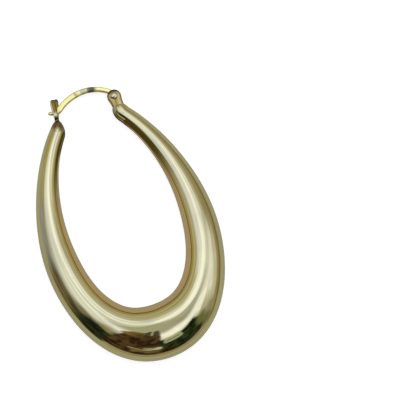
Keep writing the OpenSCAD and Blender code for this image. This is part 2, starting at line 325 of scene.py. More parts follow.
def makeFloor(g):
    material, tree = emptyMaterial("floor")
    paper = put(tree, "ShaderNodeBsdfDiffuse", {"Color": (g["white"],) * 3 + (1,)}).outputs[0]
    glow = emission(tree, (1, 1, 1, 1), g["glow"])
    both = put(tree, "ShaderNodeAddShader", {0: paper, 1: glow}).outputs[0]
    plane = makeSquare("floor", 0, g["halfSize"], both, material, tree)
    plane.visible_glossy = plane.visible_diffuse = plane.visible_transmission = plane.visible_shadow = False


def makeReflectionCard(g):  # what the metal sees instead of the floor
    material, tree = emptyMaterial("reflection_card")
    place = put(tree, "ShaderNodeTexCoord").outputs["Object"]
    x, y, halfX, halfY = g["inside"]
    moved = vectorMath(tree, "SUBTRACT", place, (x, y, 0))[0]
    sized = vectorMath(tree, "MULTIPLY", moved, (1 / halfX, 1 / halfY, 0))[0]
    outside = ramp(tree, vectorMath(tree, "LENGTH", sized)["Value"], *g["insideFade"], 0, 1)
    tint = blendColour(tree, outside, (*g["mirroredInside"], 1), (*g["mirrored"], 1))
    near, far = g["shadeFade"]
    for x, y, radius in g["shadePlaces"]:
        apart = vectorMath(tree, "DISTANCE", place, (x, y, 0))["Value"]
        tint = blendColour(tree, ramp(tree, apart, near * radius, far * radius, 1, 0), tint, (*g["shade"], 1))
    light = emission(tree, tint)
    plane = makeSquare("reflection_card", -g["gap"], g["halfSize"], light, material, tree)
    plane.visible_camera = plane.visible_shadow = False


makeFloor(ground)
makeReflectionCard(ground)
print("floor and light ready")


metals = {
    # clouds: how fine the cloudy part of the wear is
    # places of painted shade, painted reflection and painted highlight: from and to along the piece, in
    # millimetres, and the colour there
    # a painted highlight on one side: two places across the piece, between which it turns bright, and the
    # colour there
    "polished": {
        "colour": (0.89, 0.80, 0.375), "worn": (0.74, 0.67, 0.36),
        "rough": (0.03, 0.09), "bump": 0.12, "clouds": 0.35,
        # painted shade darkens the tube at its catch end
        "paintedPlaces": [(99.6, 104.0, (0.36, 0.28, 0.10)), (100.8, 104.0, (0.10, 0.08, 0.025))],
    },
    "fitting": {
        # darker and browner than the hoop's gold: painted shade on the whole fitting
        "colour": (0.66, 0.50, 0.16), "worn": (0.30, 0.23, 0.065),
        "rough": (0.10, 0.24), "bump": 0.10, "clouds": 0.8,
        # painted shade on the upper part of the fitting's ear
        "paintedPlaces": [(21.8, 24.0, (0.13, 0.11, 0.038))],
    },
    "catch": {
        # far darker and browner than the hoop's gold: painted shade on the whole catch
        "colour": (0.27, 0.18, 0.022), "worn": (0.17, 0.115, 0.012),
        "rough": (0.10, 0.26), "bump": 0.10, "clouds": 1.0,
        # painted shade at the feet of the arms and stem, a painted highlight a little above, painted shade at
        # the arms' tops
        "paintedPlaces": [
            (-1.0, 0.62, (0.10, 0.08, 0.02)),
            (0.85, 1.5, (0.80, 0.72, 0.40)),
            (4.0, 5.0, (0.13, 0.11, 0.055)),
        ],
        # a painted highlight along one side of the arms and stem
        "paintedSideHighlight": (0.14, 0.30, (0.85, 0.76, 0.36)),
    },
    "rivet": {
        "colour": (0.92, 0.84, 0.50), "worn": (0.84, 0.72, 0.36),
        "rough": (0.06, 0.14), "bump": 0.05, "clouds": 0.5,
    },
    "wire": {
        # brighter and yellower than the hoop's gold: painted light
        "colour": (1.0, 0.89, 0.30), "worn": (0.97, 0.83, 0.25),
        "rough": (0.06, 0.14), "bump": 0.06, "clouds": 0.4,
        # painted dark reflections at places along the wire
        "paintedPlaces": [
            (3.8, 5.3, (0.14, 0.135, 0.06)),
            (5.6, 6.6, (0.66, 0.60, 0.30)),
            (7.4, 7.8, (0.45, 0.38, 0.10)),
        ],
    },
}
wearLook = {  # the same on every piece
    "fineLines": (3.4, 3.4, 0.07),  # how often they change across, through and along the piece
    "broadLines": (1.3, 1.3, 0.05),
    "shares": (0.5, 0.2, 0.3),  # of broad lines, clouds and fine lines in the wear
    "wornFrom": (0.4, 0.68),
    "roughFrom": (0.35, 0.65),
    "specks": 1.1,  # how many tiny pits there are
    "speckSize": (0.05, 0.09),
    "speckRough": 0.12,
    "paintedPlacesEdge": 0.35,  # millimetres, at the edges of the painted places
    "raggedScale": 1.6,  # of the unevenness of that edge
    "paintedPlacesRough": 0.1,
    "lineHeight": 0.00001,  # metres
}


def paintLightAndShade(tree, m, look, grain, colour, rough):  # painted shade, painted reflections and painted highlights at places along a piece, with ragged edges
    along = axes(tree, grain)["Z"]
    ragged = noise(tree, grain, look["raggedScale"], 2.0)[0]
    along = plus(tree, along, minus(tree, ragged, 0.5))
    edge = look["paintedPlacesEdge"]
    for start, end, tint in m["paintedPlaces"]:
        after = ramp(tree, along, start - edge, start + edge, 0, 1)
        before = ramp(tree, along, end - edge, end + edge, 1, 0)
        share = times(tree, after, before)
        colour = blendColour(tree, share, colour, (*tint, 1))
        rough = plus(tree, rough, times(tree, share, look["paintedPlacesRough"]))
    return colour, rough


# Polished metal with fine lines along the piece.
# The attribute grain holds millimetres across, through and along it.
def makeMetal(name, m, look):
    material, tree = emptyMaterial(name)
    grain = put(tree, "ShaderNodeAttribute", attribute_name="grain").outputs["Vector"]
    lines = put(tree, "ShaderNodeMapping", {"Vector": grain, "Scale": look["fineLines"]}).outputs[0]
    fine = noise(tree, lines, 1.0, 4.0, Roughness=0.6)[0]
    bands = put(tree, "ShaderNodeMapping", {"Vector": grain, "Scale": look["broadLines"]}).outputs[0]
    broad = noise(tree, bands, 1.0, 2.0)[0]
    clouds = noise(tree, grain, m["clouds"], 3.0)[0]
    pits = put(tree, "ShaderNodeTexVoronoi", {"Vector": grain, "Scale": look["specks"]}).outputs["Distance"]
    speck = ramp(tree, pits, *look["speckSize"], 1, 0)
    parts = [times(tree, part, share) for part, share in zip((broad, clouds, fine), look["shares"])]
    wear = plus(tree, plus(tree, parts[0], parts[1]), parts[2])
    colour = blendColour(tree, ramp(tree, wear, *look["wornFrom"], 0, 1), (*m["colour"], 1), (*m["worn"], 1))
    rough = plus(tree, times(tree, fine, 0.5), times(tree, wear, 0.5))
    rough = ramp(tree, rough, *look["roughFrom"], *m["rough"])
    rough = plus(tree, rough, times(tree, speck, look["speckRough"]))
    # a painted highlight along one side of the piece
    if "paintedSideHighlight" in m:
        start, end, tint = m["paintedSideHighlight"]
        across = axes(tree, grain)["X"]
        colour = blendColour(tree, ramp(tree, across, start, end, 0, 1), colour, (*tint, 1))
    # painted shade, painted reflections and painted highlights at places along the piece
    if "paintedPlaces" in m:
        colour, rough = paintLightAndShade(tree, m, look, grain, colour, rough)
    height = minus(tree, fine, times(tree, speck, 0.5))
    relief = {"Height": height, "Strength": m["bump"], "Distance": look["lineHeight"]}
    bump = put(tree, "ShaderNodeBump", relief).outputs[0]
    feeds = {"Base Color": colour, "Metallic": 1.0, "Roughness": rough, "Normal": bump}
    shader = put(tree, "ShaderNodeBsdfPrincipled", feeds).outputs[0]
    put(tree, "ShaderNodeOutputMaterial", {"Surface": shader})
    return material


finish = {name: makeMetal(name + "_gold", m, wearLook) for name, m in metals.items()}
print("materials ready")


# A skin whose rings follow the points of a path. Every point of the path carries the sizes of its ring.
def buildSweepTree():
    tree = bpy.data.node_groups.new("skinAlongPath", "GeometryNodeTree")
    wanted = {
        "Path": "Geometry", "Sides": "Int", "Dent depth": "Float", "Dent size": "Float",
        "Seed": "Float", "Metal": "Material",
    }
    for name, kind in wanted.items():
        tree.interface.new_socket(name=name, in_out="INPUT", socket_type="NodeSocket" + kind)
    tree.interface.new_socket(name="Skin", in_out="OUTPUT", socket_type="NodeSocketGeometry")
    given = put(tree, "NodeGroupInput").outputs
    size = put(tree, "GeometryNodeAttributeDomainSize", {0: given["Path"]}, component="MESH").outputs
    perRing = plus(tree, given["Sides"], 1)
    counts = {"Vertices X": size["Point Count"], "Vertices Y": perRing}
    grid = put(tree, "GeometryNodeMeshGrid", counts).outputs[0]
    index = put(tree, "GeometryNodeInputIndex").outputs[0]
    ring = calc(tree, "FLOOR", calc(tree, "DIVIDE", plus(tree, index, 0.5), perRing))
    place = minus(tree, index, times(tree, ring, perRing))
    turn = times(tree, calc(tree, "DIVIDE", place, given["Sides"]), 2 * pi)

    def fromPath(name, kind="FLOAT"):  # a value of the path's point that this ring follows
        if name == "position":
            value = put(tree, "GeometryNodeInputPosition").outputs[0]
        else:
            value = put(tree, "GeometryNodeInputNamedAttribute", {"Name": name}, data_type=kind).outputs[0]
        feeds = {"Geometry": given["Path"], "Value": value, "Index": ring}
        return put(tree, "GeometryNodeSampleIndex", feeds, data_type=kind).outputs[0]

    def rounded(wave, squareness):
        size = calc(tree, "POWER", calc(tree, "ABSOLUTE", wave), squareness)
        return times(tree, calc(tree, "SIGN", wave), size)

    # the section: a rounded box or an oval, drawn in towards its crest, with the crest moved sideways
    squareness = fromPath("squareness")
    side, crest = calc(tree, "COSINE", turn), calc(tree, "SINE", turn)
    height = times(tree, crest, crest)
    narrowed = minus(tree, 1, times(tree, fromPath("ridge"), height))
    shifted = times(tree, fromPath("skew"), height)
    share = plus(tree, times(tree, rounded(side, squareness), narrowed), shifted)
    flatAcross = times(tree, share, fromPath("halfWidth"))
    flatThrough = times(tree, rounded(crest, squareness), fromPath("halfDepth"))
    roll = fromPath("roll")
    rollCos, rollSin = calc(tree, "COSINE", roll), calc(tree, "SINE", roll)
    across = minus(tree, times(tree, flatAcross, rollCos), times(tree, flatThrough, rollSin))
    through = plus(tree, times(tree, flatAcross, rollSin), times(tree, flatThrough, rollCos))
    runs = axes(tree, fromPath("runs", "FLOAT_VECTOR"))
    middle = axes(tree, fromPath("position", "FLOAT_VECTOR"))
    place = put(tree, "ShaderNodeCombineXYZ", {
        0: minus(tree, middle[0], times(tree, runs[1], across)),
        1: plus(tree, middle[1], times(tree, runs[0], across)),
        2: plus(tree, middle[2], through),
    }).outputs[0]
    placed = put(tree, "GeometryNodeSetPosition", {"Geometry": grid, "Position": place}).outputs[0]
    pattern = put(tree, "ShaderNodeCombineXYZ", {0: across, 1: through, 2: fromPath("along")}).outputs[0]
    grain = {"Geometry": placed, "Name": "grain", "Value": pattern}
    marked = put(tree, "GeometryNodeStoreNamedAttribute", grain, data_type="FLOAT_VECTOR").outputs[0]
    seam = 0.0005  # millimetres
    closed = put(tree, "GeometryNodeMergeByDistance", {"Geometry": marked, "Distance": seam}).outputs[0]
    # thin sheet metal is never quite even
    place = put(tree, "GeometryNodeInputPosition").outputs[0]
    shrink = {0: place, "Scale": calc(tree, "DIVIDE", 1, given["Dent size"])}
    where = put(tree, "ShaderNodeVectorMath", shrink, operation="SCALE").outputs[0]
    wave = {"Vector": where, "W": given["Seed"], "Scale": 1.0, "Detail": 1.0}
    wave = put(tree, "ShaderNodeTexNoise", wave, noise_dimensions="4D").outputs[0]
    push = times(tree, minus(tree, wave, 0.5), times(tree, given["Dent depth"], 2))
    outward = {0: put(tree, "GeometryNodeInputNormal").outputs[0], "Scale": push}
    outward = put(tree, "ShaderNodeVectorMath", outward, operation="SCALE").outputs[0]
    uneven = put(tree, "GeometryNodeSetPosition", {"Geometry": closed, "Offset": outward}).outputs[0]
    smooth = put(tree, "GeometryNodeSetShadeSmooth", {"Geometry": uneven}).outputs[0]
    real = put(tree, "GeometryNodeRealizeInstances", {"Geometry": smooth}).outputs[0]
    painted = put(tree, "GeometryNodeSetMaterial", {"Geometry": real, "Material": given["Metal"]}).outputs[0]
    put(tree, "NodeGroupOutput", {"Skin": painted})
    return tree


sweepTree = buildSweepTree()
ringKeys = ("halfWidth", "halfDepth", "squareness", "ridge", "skew", "roll")


def ringAt(place, runs, *sizes, **more):  # sizes are the half width, the half depth and the squareness
    ring = {"place": (*place, 0)[:3], "runs": (*runs, 0)[:3]}
    ring |= {"squareness": 1.0, "ridge": 0.0, "skew": 0.0, "roll": 0.0}
    return ring | dict(zip(ringKeys, sizes)) | more


def plainMesh(piece):  # the mesh that a piece's modifiers give
    graph = bpy.context.evaluated_depsgraph_get()
    solved = piece.evaluated_get(graph)
    return bpy.data.meshes.new_from_object(solved, preserve_all_data_layers=True, depsgraph=graph)


# One mesh from a row of rings. A ring of no size at each end closes it.
def sweepSkin(name, rings, sides, material, dentDepth=0.0, dentSize=5.0, seed=1.0):
    rings = [dict(rings[0], halfWidth=0, halfDepth=0), *rings, dict(rings[-1], halfWidth=0, halfDepth=0)]
    values = {key: [ring[key] for ring in rings] for key in ringKeys}
    values["along"] = [0]
    for before, ring in zip(rings, rings[1:]):
        gap = Vector(ring["place"]) - Vector(before["place"])
        values["along"].append(values["along"][-1] + gap.length)
    path = bpy.data.meshes.new(name)
    path.from_pydata([ring["place"] for ring in rings], [], [])
    for key, numbers in values.items():
        path.attributes.new(key, "FLOAT", "POINT").data.foreach_set("value", numbers)
    runs = [v for ring in rings for v in ring["runs"]]
    path.attributes.new("runs", "FLOAT_VECTOR", "POINT").data.foreach_set("vector", runs)
    piece = addObject(name, path)
    skin = piece.modifiers.new("skin", "NODES")
    skin.node_group = sweepTree
    wanted = {"Sides": sides, "Dent depth": dentDepth, "Dent size": dentSize, "Seed": seed, "Metal": material}
    for socket in sweepTree.interface.items_tree:
        if socket.in_out == "INPUT" and socket.name in wanted:
            skin[socket.identifier] = wanted[socket.name]
    mesh = plainMesh(piece)
    bpy.data.objects.remove(piece)
    return mesh


def lathe(profile, sides, centre):  # turns (radius, height) points round an upright line through centre
    form = bmesh.new()
    loops = []
    for radius, height in profile:
        turns = [2 * pi * k / sides for k in range(sides)] if radius > 1e-6 else [0]
        loops.append([
            form.verts.new((centre[0] + radius * cos(turn), centre[1] + radius * sin(turn), height))
            for turn in turns
        ])
    for a, b in zip(loops, loops[1:]):
        for k in range(sides):
            corners = [a[k % len(a)], a[(k + 1) % len(a)], b[(k + 1) % len(b)], b[k % len(b)]]
            corners = [v for i, v in enumerate(corners) if v not in corners[:i]]
            form.faces.new(corners)
    return form


def joinForms(name, parts):  # parts are meshes or bmeshes in millimetres
    whole = bmesh.new()
    for part in parts:
        if isinstance(part, bmesh.types.BMesh):
            mesh = bpy.data.meshes.new("part")
            part.to_mesh(mesh)
            part.free()
            part = mesh
        whole.from_mesh(part)
    mesh = bpy.data.meshes.new(name)
    bmesh.ops.recalc_face_normals(whole, faces=whole.faces)
    whole.to_mesh(mesh)
    whole.free()
    return mesh


def turnOutward(mesh):  # every closed shell of the mesh gets outward faces
    form = bmesh.new()
    form.from_mesh(mesh)
    form.faces.ensure_lookup_table()
    seen = set()
    for start in form.faces:
        if start.index in seen:
            continue
        shell, stack = [], [start]
        seen.add(start.index)
        while stack:
            face = stack.pop()
            shell.append(face)
            for edge in face.edges:
                for other in edge.link_faces:
                    if other.index not in seen:
                        seen.add(other.index)
                        stack.append(other)
        volume = 0
        for face in shell:
            first = face.verts[0].co
            for a, b in zip(face.verts[1:], face.verts[2:]):
                volume += first.dot(a.co.cross(b.co))
        if volume < 0:
            bmesh.ops.reverse_faces(form, faces=shell)
    form.to_mesh(mesh)
    form.free()


def addGrain(mesh):  # plain millimetre coordinates where the sweep hasn't left any
    if "grain" not in mesh.attributes:
        grain = mesh.attributes.new("grain", "FLOAT_VECTOR", "POINT")
        grain.data.foreach_set("vector", [c for v in mesh.vertices for c in (v.co.x, v.co.z, v.co.y)])
        return
    grain = mesh.attributes["grain"]
    for i, v in enumerate(mesh.vertices):
        if Vector(grain.data[i].vector).length < 1e-9:
            grain.data[i].vector = (v.co.x, v.co.z, v.co.y)


def finishPiece(name, mesh, material, body, node, sharpFrom):
    mesh.name = name
    turnOutward(mesh)
    addGrain(mesh)
    mesh.transform(layDown)
    mesh.materials.clear()
    mesh.materials.append(material)
    for face in mesh.polygons:
        face.material_index = 0
        face.use_smooth = True
    mesh.set_sharp_from_angle(angle=radians(sharpFrom))
    piece = addObject(name, mesh)
    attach(piece, body)
    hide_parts(node)
    print(name, "made:", len(mesh.polygons), "faces")


hoop = {
    "halfWidth": 11.8,  # of the oval that the middle of the tube follows
    "halfLength": 24.0,
    "pear": 1.2,  # how far the widest place moves down
    "sideBow": 1.05,
    "bottomPress": 1.4,
    "bottomSize": (10.0, 8.0),  # the tube's width and depth at the bottom
    "endSize": (2.95, 2.9),
    "growthStart": 40,  # degrees from the top
    "growthStep": 20,
    # the share of the growth in width and in depth, at every step from there to the bottom
    "growth": [
        (0, 0), (0.07, 0.11), (0.24, 0.29), (0.46, 0.50),
        (0.58, 0.67), (0.77, 0.83), (0.95, 0.95), (1, 1),
    ],
    "growthBlend": (4, 3),  # evened out over so many steps each way, of so many degrees
    "hingeEnd": 46,  # degrees from the top
    "catchEnd": 45,
    "footPull": 0.9,
    "hingeFoot": (6.13, 19.5),
    "hingeFootRadius": 1.05,
    "hingeCap": (2.4, 0.1),
    "catchFoot": (-5.47, 20.45),
    "catchFootRadius": 0.44,
    "catchCap": (1.7, 0.1),
    "ridge": 0.22,  # how far the section draws in towards its crest
    # how far the crest stands towards the inside of the hoop, at the ends and at the bottom
    "skew": (-0.05, -0.16),
    "rings": 340,
    "capRings": 26,
    "capSpread": 1.6,  # the cap's rings stand closer together where it turns
    "sides": 112,
    "dentDepth": 0.012,
    "dentSize": 6.0,
    "seed": 3.0,
}


def ovalPoint(h, angle):
    a = radians(angle)
    return Vector((
        h["halfWidth"] * sin(a) - h["pear"] * sin(2 * a) - h["sideBow"] * sin(3 * a),
        h["halfLength"] * cos(a) - h["bottomPress"] * cos(3 * a),
    ))


def ovalWay(h, angle):
    a = radians(angle)
    return Vector((
        h["halfWidth"] * cos(a) - 2 * h["pear"] * cos(2 * a) - 3 * h["sideBow"] * cos(3 * a),
        -h["halfLength"] * sin(a) + 3 * h["bottomPress"] * sin(3 * a),
    )).normalized()


def curveThrough(rows, place):  # a smooth curve through rows of numbers, with place counted in rows
    i = max(0, min(floor(place), len(rows) - 2))
    t = place - i
    a, b, c, d = (rows[k] for k in (max(i - 1, 0), i, i + 1, min(i + 2, len(rows) - 1)))
    if i == 0:
        a = [2 * x - y for x, y in zip(b, c)]
    if i == len(rows) - 2:
        d = [2 * x - y for x, y in zip(c, b)]
    return [
        0.5 * (2 * q + (r - p) * t + (2 * p - 5 * q + 4 * r - s) * t * t + (3 * q - p - 3 * r + s) * t ** 3)
        for p, q, r, s in zip(a, b, c, d)
    ]


def growthShare(h, angle):
    rows = h["growth"] + h["growth"][-2::-1]  # the same on both sides of the bottom
    total, shares = 0, [0, 0]
    steps, stepSize = h["growthBlend"]
    for step in range(-steps, steps + 1):  # evened out, so that reflections run on without a kink
        weight = exp(-2 * (step / steps) ** 2)
        place = (angle + stepSize * step - h["growthStart"]) / h["growthStep"]
        total += weight
        shares = [s + weight * v for s, v in zip(shares, curveThrough(rows, place))]
    return [s / total for s in shares]


def tubeHalves(h, angle):
    shares = growthShare(h, angle)
    return [mix(end, bottom, share) / 2 for end, bottom, share in zip(h["endSize"], h["bottomSize"], shares)]


def tubeSection(h, angle):
    return {"ridge": h["ridge"], "skew": mix(*h["skew"], growthShare(h, angle)[0])}


# t runs from 0 at the tube's end to 1 at the foot of the fitting
def capRing(h, angle, way, foot, footRadius, shape, t):
    start = ovalPoint(h, angle)
    pull = start + way * h["footPull"]
    foot = Vector(foot)
    power, bulge = shape
    shrink = max(0, 1 - t ** power) ** (1 / power) + bulge * t * (1 - t)
    place = (1 - t) ** 2 * start + 2 * t * (1 - t) * pull + t * t * foot
    runs = ((1 - t) * (pull - start) + t * (foot - pull)).normalized()
    halves = [mix(footRadius, half, shrink) for half in tubeHalves(h, angle)]
    section = {key: value * sqrt(1 - t) for key, value in tubeSection(h, angle).items()}
    return ringAt(place, runs, *halves, **section)


def capRings(h, end):
    angle = h["hingeEnd"] if end == "hinge" else 360 - h["catchEnd"]
    way = ovalWay(h, angle) * (-1 if end == "hinge" else 1)
    for i in range(1, h["capRings"] + 1):
        t = 1 - (1 - i / h["capRings"]) ** h["capSpread"]
        yield capRing(h, angle, way, h[end + "Foot"], h[end + "FootRadius"], h[end + "Cap"], t)


def makeHoop(h):
    rings = list(capRings(h, "hinge"))[::-1]
    for ring in rings:
        ring["runs"] = tuple(-v for v in ring["runs"])
    for i in range(h["rings"]):
        angle = mix(h["hingeEnd"], 360 - h["catchEnd"], i / (h["rings"] - 1))
        sizes, section = tubeHalves(h, angle), tubeSection(h, angle)
        rings.append(ringAt(ovalPoint(h, angle), ovalWay(h, angle), *sizes, **section))
    rings += capRings(h, "catch")
    dents = (h["dentDepth"], h["dentSize"], h["seed"])
    mesh = sweepSkin("puffed_hoop", rings, h["sides"], finish["polished"], *dents)
    finishPiece("puffed_hoop", mesh, finish["polished"], "hoop", "hoop_body", sharpFrom=180)


makeHoop(hoop)


card = {  # a warm card that glows, with painted reflections and painted shade, stands round inside the hoop, and only the metal sees it
    "angles": range(45, 326, 4),  # degrees round the hoop
    "stand": 4.5,  # millimetres from the hoop's inner edge
    "standShare": 0.55,  # at most this share of the way to the middle, in the upper half
    "levels": (-50, -25, -6, 6, 18, 30, 42, 56, 64),  # degrees, as the metal sees them
    "seenFrom": 0.8,  # share of the tube's half depth that the levels count from
    "lowest": -0.98,
    "edge": (0.36, 0.34, 0.33),  # its colours, from the lowest place upwards
    "low": (0.40, 0.32, 0.27),
    "middle": (0.33, 0.28, 0.16),
    "high": (0.46, 0.44, 0.42),
    "changes": ((-48, -28), (-4, 4), (12, 36)),  # levels between which one colour gives way to the next
    "line": (0.13, 0.08, 0.03),  # a thin dark line of painted shade along the middle
    "lineWidth": (1.5, 6),
    "fade": (31, 54),  # levels over which the card fades out upwards
    "shade": (0.066, 0.050, 0.013),  # painted shade, its colour beside the hoop's two ends
    "shadeFrom": (-52, -34),
    "hingeShade": (62, 84),  # angles round the hoop between which it fades
    "catchShade": (284, 306),
    "catchShadeTop": (2, 14),  # there it ends between these levels
}


def cardShade(c, angle, level):  # 1 beside the hoop's ends, 0 elsewhere
    (start, end), (again, last) = c["hingeShade"], c["catchShade"]
    shade = 1 - ease((angle - start) / (end - start)) + ease((angle - again) / (last - again))
    low, high = c["catchShadeTop"]
    return shade * (1 - ease((level - low) / (high - low))) if angle > 180 else shade


def paintCard(c):
    material, tree = emptyMaterial("warm_card")
    level = put(tree, "ShaderNodeAttribute", attribute_name="level").outputs["Fac"]
    tint = (*c["edge"], 1)
    for name, change in zip(("low", "middle", "high"), c["changes"]):
        tint = blendColour(tree, ramp(tree, level, *change, 0, 1), tint, (*c[name], 1))
    line = ramp(tree, calc(tree, "ABSOLUTE", level), *c["lineWidth"], 1, 0)
    tint = blendColour(tree, line, tint, (*c["line"], 1))
    shade = put(tree, "ShaderNodeAttribute", attribute_name="shade").outputs["Fac"]
    shade = times(tree, shade, ramp(tree, level, *c["shadeFrom"], 0, 1))
    tint = blendColour(tree, shade, tint, (*c["shade"], 1))
    light = emission(tree, tint)
    clear = put(tree, "ShaderNodeBsdfTransparent").outputs[0]
    solid = ramp(tree, level, *c["fade"], 1, 0)
    both = put(tree, "ShaderNodeMixShader", {0: solid, 1: clear, 2: light}).outputs[0]
    put(tree, "ShaderNodeOutputMaterial", {"Surface": both})
    return material


def makeCard(c, h):
    points, levels, shades = [], [], []
    for angle in c["angles"]:
        width, depth = tubeHalves(h, angle)
        way = ovalWay(h, angle)
        inwards = Vector((way.y, -way.x))
        edge = ovalPoint(h, angle) + inwards * width
        stand = min(c["stand"], abs(edge.x) * c["standShare"]) if edge.y > 0 else c["stand"]
        place = edge + inwards * stand
        for level in c["levels"]:
            height = max(c["lowest"] * depth, c["seenFrom"] * depth + stand * tan(radians(level)))
            points.append(layDown @ Vector((*place, height)))
            levels.append(level)
            shades.append(cardShade(c, angle, level))
    rows = len(c["levels"])
    faces = [
        (i * rows + k, (i + 1) * rows + k, (i + 1) * rows + k + 1, i * rows + k + 1)
        for i in range(len(c["angles"]) - 1)
        for k in range(rows - 1)
    ]
    mesh = bpy.data.meshes.new("warm_card")
    mesh.from_pydata(points, [], faces)
    mesh.attributes.new("level", "FLOAT", "POINT").data.foreach_set("value", levels)
    mesh.attributes.new("shade", "FLOAT", "POINT").data.foreach_set("value", shades)
    mesh.materials.append(paintCard(c))
    sheet = addObject("warm_card", mesh)
    sheet.visible_camera = sheet.visible_diffuse = sheet.visible_shadow = sheet.visible_transmission = False


makeCard(card, hoop)


bracket = {
    "earRadius": 1.3,
    "slot": 1.1,
    "slotFloor": 1.25,  # below the pin
    "bore": 0.39,
    "footShift": 0.23,
    "footWidth": 2.1,
    "footDrop": 2.5,
    "waist": 0.10,  # how far the sides of the strip are drawn in
    "waistCurve": 1.5,
    "slotRound": 0.22,  # radius of the slot's floor
    "edge": 0.03,  # rounding of the slot's edges
    "edgeAngle": 50,
    "cutReach": (3, 2),  # of the slot's cutter sideways and up, and of the bore's each way
    "boreSides": 48,
    # half depth, and how far the outline has drawn in there: the faces are softly domed
    "pillow": [(0.60, 0), (0.74, 0.03), (0.86, 0.10), (0.93, 0.21), (0.975, 0.38), (1.0, 0.56)],
}


def bracketOutline(b, inset):  # the round ear, then down one side of the strip and up the other
    ear, foot, drop, steps = b["earRadius"], b["footWidth"] / 2, b["footDrop"], 10
    points = [(ear * cos(radians(a)), ear * sin(radians(a))) for a in range(0, 181, 5)]
    for side in (-1, 1):
        line = []
        for t in (k / steps for k in range(1, steps + 1)):
            waist = b["waist"] * sin(pi * t) ** b["waistCurve"]
            line.append((mix(side * ear, b["footShift"] + side * foot, t) - side * waist, -drop * t))
        points += line if side < 0 else line[::-1]
    drawn = []
    for i, (x, y) in enumerate(points):
        before, after = points[i - 1], points[(i + 1) % len(points)]
        across = Vector((before[1] - after[1], after[0] - before[0])).normalized()  # points inwards
        drawn.append((x + across.x * inset, y + across.y * inset))
    return drawn


def boxForm(low, high):
    form = bmesh.new()
    bmesh.ops.create_cube(form, size=1)
    for v in form.verts:
        v.co = Vector([mix(a, b, c + 0.5) for a, b, c in zip(low, high, v.co)])
    return form


def formObject(name, form):
    mesh = bpy.data.meshes.new(name)
    bmesh.ops.recalc_face_normals(form, faces=form.faces)
    form.to_mesh(mesh)
    form.free()
    return addObject(name, mesh)


def slotCutter(b):  # a box with its two lower edges along x rounded
    (cx, cy), reach, half = pinPlace, b["cutReach"][0], b["slot"] / 2
    floorHeight, near = cy - b["slotFloor"], 0.01
    form = boxForm((cx - reach, floorHeight, -half), (cx + reach, cy + reach, half))
    low = [
        e for e in form.edges
        if all(v.co.y < floorHeight + near for v in e.verts) and abs(e.verts[0].co.z - e.verts[1].co.z) < near
    ]
    bmesh.ops.bevel(form, geom=low, offset=b["slotRound"], segments=4, affect="EDGES", profile=0.5)
    return formObject("slot", form)


def makeBracket(b):
    cx, cy = pinPlace
    layers = [(-z, inset) for z, inset in reversed(b["pillow"])] + b["pillow"]
    form = bmesh.new()
    loops = [[form.verts.new((cx + x, cy + y, z)) for x, y in bracketOutline(b, inset)] for z, inset in layers]
    for low, high in zip(loops, loops[1:]):
        for k in range(len(low)):
            form.faces.new((low[k - 1], low[k], high[k], high[k - 1]))
    for loop in (loops[0], loops[-1]):
        form.faces.new(loop)
    strip = formObject("strip", form)
    slotCut = slotCutter(b)
    bore, reach = b["bore"], b["cutReach"][1]
    hole = lathe([(0, -reach), (bore, -reach), (bore, reach), (0, reach)], b["boreSides"], pinPlace)
    boreCut = formObject("bore", hole)
    for cutter in (slotCut, boreCut):
        cut = strip.modifiers.new("cut", "BOOLEAN")
        cut.operation, cut.solver, cut.object = "DIFFERENCE", "EXACT", cutter
    soften = strip.modifiers.new("edges", "BEVEL")
    soften.width, soften.segments = b["edge"], 2
    soften.limit_method, soften.angle_limit = "ANGLE", radians(b["edgeAngle"])
    mesh = plainMesh(strip)
    for spare in (strip, slotCut, boreCut):
        bpy.data.objects.remove(spare)
    finishPiece("hinge_bracket", mesh, finish["fitting"], "hoop", "hoop_body", sharpFrom=50)


makeBracket(bracket)


rivet = {
    "shaft": 0.38,
    "head": 0.69,
    "rise": (0.33, 0.18),  # of the front head and the back one
    "seat": 1.01,  # where the heads start, from the middle
    "lip": 0.04,
    "lipTurns": (0.4, 0.8, 1.2, 1.57),
    "domeSteps": 25,
    "sides": 64,
}


def domedHead(r, rise):
    low = r["seat"] + r["lip"]
    crown = rise - r["lip"]
    ball = (r["head"] ** 2 + crown ** 2) / (2 * crown)  # radius of the dome
    radii = [r["head"] * i / r["domeSteps"] for i in range(r["domeSteps"] + 1)]
    dome = [(radius, low + crown - ball + sqrt(ball ** 2 - radius ** 2)) for radius in radii]
    lip = [(r["head"] - r["lip"] * (1 - cos(a)), low - r["lip"] * sin(a)) for a in r["lipTurns"]]
    return dome + lip


def makeRivet(r):
    front, back = (domedHead(r, rise) + [(r["shaft"], r["seat"])] for rise in r["rise"])
    profile = front + [(radius, -height) for radius, height in reversed(back)]
    mesh = joinForms("rivet", [lathe(profile, r["sides"], pinPlace)])
    finishPiece("rivet", mesh, finish["rivet"], "hoop", "hinge_pin", sharpFrom=50)


